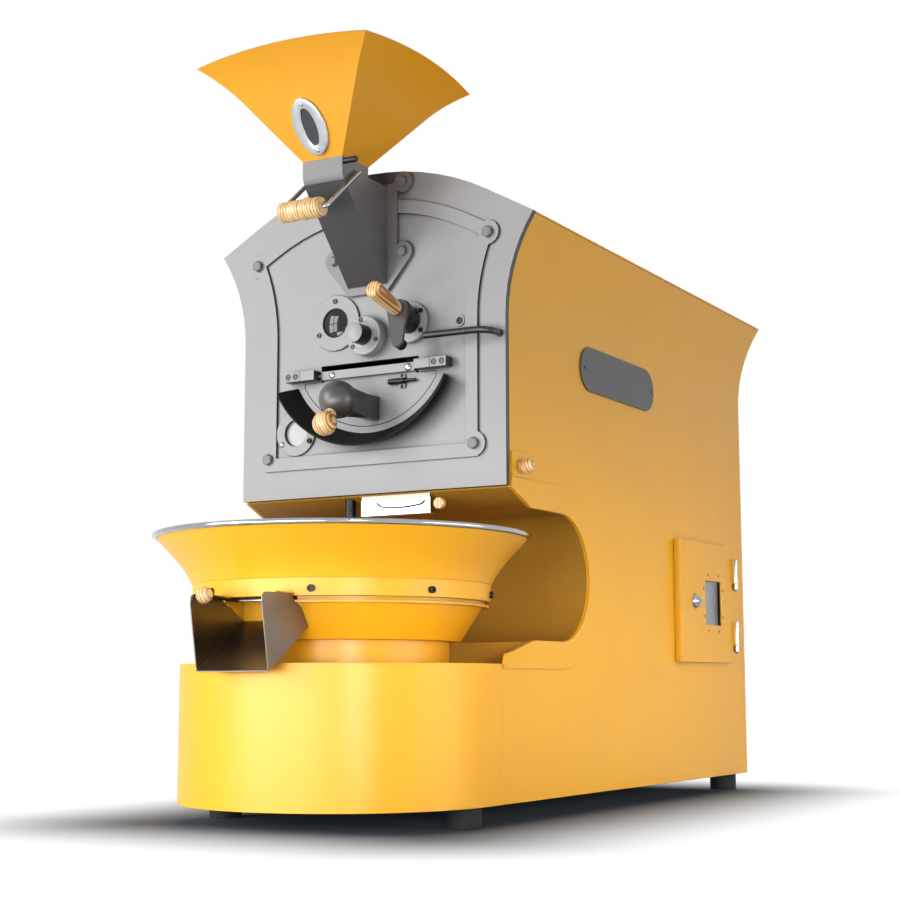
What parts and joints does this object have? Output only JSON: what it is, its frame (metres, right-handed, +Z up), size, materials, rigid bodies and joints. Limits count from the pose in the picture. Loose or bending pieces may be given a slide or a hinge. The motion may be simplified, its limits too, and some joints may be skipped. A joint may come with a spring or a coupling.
{
  "type": "drum coffee roaster",
  "caption": "Countertop drum coffee roaster: arched body, square funnel hopper, hinged discharge door with weight, and a round cooling bowl with stirrer and spout in front.",
  "frame": {"origin": "on the floor under the middle of the machine's box", "axes": "+Z up, -Y towards the front with the bowl, X across the machine"},
  "size_m": [0.5396, 1.301, 1.0577],
  "materials": {
    "yellow_coat": "fine textured powder coat",
    "grey_coat": "satin",
    "dark_coat": "satin",
    "black_steel": "satin black",
    "engine_paint": "satin",
    "galvanised": "galvanised sheet",
    "brushed_steel": "brushed",
    "drum_steel": "heat darkened",
    "chrome_steel": "polished",
    "cast_iron": "black casting",
    "pine": "turned and varnished",
    "dark_glass": "clear, dark inside",
    "black_rubber": "matt"
  },
  "bodies": {
    "casing": {"side_panel_right": "yellow_coat", "side_panel_left": "yellow_coat", "roof_panel": "yellow_coat", "back_panel": "yellow_coat", "base_front": "yellow_coat", "base_deck": "yellow_coat", "throat_liner": "yellow_coat", "throat_trim_right": "yellow_coat", "throat_trim_left": "yellow_coat", "bottom_plate": "galvanised", "foot_front_left": "black_rubber", "foot_front_right": "black_rubber", "foot_rear_left": "black_rubber", "foot_rear_right": "black_rubber", "front_plate": "grey_coat", "face_frame": "grey_coat", "sight_glass_flange": "grey_coat", "sight_glass": "dark_glass", "port_flange": "grey_coat", "bearing_housing": "grey_coat", "bean_guide": "black_steel", "hinge_block_left": "grey_coat", "hinge_block_right": "grey_coat", "sampler_seat": "dark_coat", "bean_chute": "grey_coat", "hopper": "yellow_coat", "hopper_window_frame": "chrome_steel", "hopper_window_glass": "dark_glass", "cooling_bowl": "yellow_coat", "bowl_rim": "chrome_steel", "sieve": "brushed_steel", "cooling_plenum": "yellow_coat", "spout": "brushed_steel", "stirrer_motor": "engine_paint", "catch_pan": "chrome_steel", "drum_jacket": "galvanised", "rear_bulkhead": "galvanised", "drum_motor": "engine_paint", "burner_tray": "brushed_steel", "smoke_pipe": "galvanised", "cooling_pipe": "galvanised", "cooling_fan": "galvanised", "nameplate": "dark_coat", "cabinet_box": "galvanised"},
    "drum": {"roasting_drum": "drum_steel"},
    "stirring": {"stirrer": "brushed_steel"},
    "door": {"discharge_door": "grey_coat", "door_weight": "cast_iron", "door_knob": "pine"},
    "gate": {"gate_lever": "brushed_steel", "gate_grip": "pine"},
    "trier": {"sampler": "brushed_steel", "sampler_grip": "pine"},
    "airflow": {"airflow_lever": "black_steel"},
    "outlet": {"outlet_gate": "black_steel", "outlet_knob": "pine"},
    "damper": {"damper_slider": "yellow_coat", "damper_knob": "pine"},
    "cabinet": {"cabinet_door": "yellow_coat"},
    "lock": {"cam_lock": "chrome_steel"}
  },
  "joints": [
    {"name": "drum_spin", "type": "hinge", "parent": "casing", "child": "drum", "pos_m": [0, -0.3185, 0.69], "axis": [0, 1, 0], "continuous": true},
    {"name": "stirrer_spin", "type": "hinge", "parent": "casing", "child": "stirring", "pos_m": [0, -0.3845, 0.3], "axis": [0, 0, 1], "continuous": true},
    {"name": "door_swing", "type": "hinge", "parent": "casing", "child": "door", "pos_m": [0, -0.322, 0.639], "axis": [-1, 0, 0], "range_deg": [0, 60]},
    {"name": "gate_lift", "type": "hinge", "parent": "casing", "child": "gate", "pos_m": [0, -0.4105, 0.9085], "axis": [-1, 0, 0], "range_deg": [0, 42]},
    {"name": "trier_pull", "type": "slide", "parent": "casing", "child": "trier", "axis": [0, -0.9613, 0.2756], "range_m": [0, 0.06]},
    {"name": "airflow_turn", "type": "hinge", "parent": "casing", "child": "airflow", "pos_m": [0.216, -0.3185, 0.6735], "axis": [0, 1, 0], "range_deg": [0, 35]},
    {"name": "outlet_turn", "type": "hinge", "parent": "casing", "child": "outlet", "pos_m": [0.048, -0.5805, 0.297], "axis": [0, 0, 1], "range_deg": [0, 40]},
    {"name": "damper_lift", "type": "slide", "parent": "casing", "child": "damper", "axis": [0, 0, 1], "range_m": [0, 0.015]},
    {"name": "cabinet_swing", "type": "hinge", "parent": "casing", "child": "cabinet", "pos_m": [0.2403, 0.526, 0.327], "axis": [0, 0, 1], "range_deg": [0, 110]},
    {"name": "lock_turn", "type": "hinge", "parent": "cabinet", "child": "lock", "pos_m": [0.236, 0.3415, 0.327], "axis": [-1, 0, 0], "range_deg": [0, 90]}
  ]
}
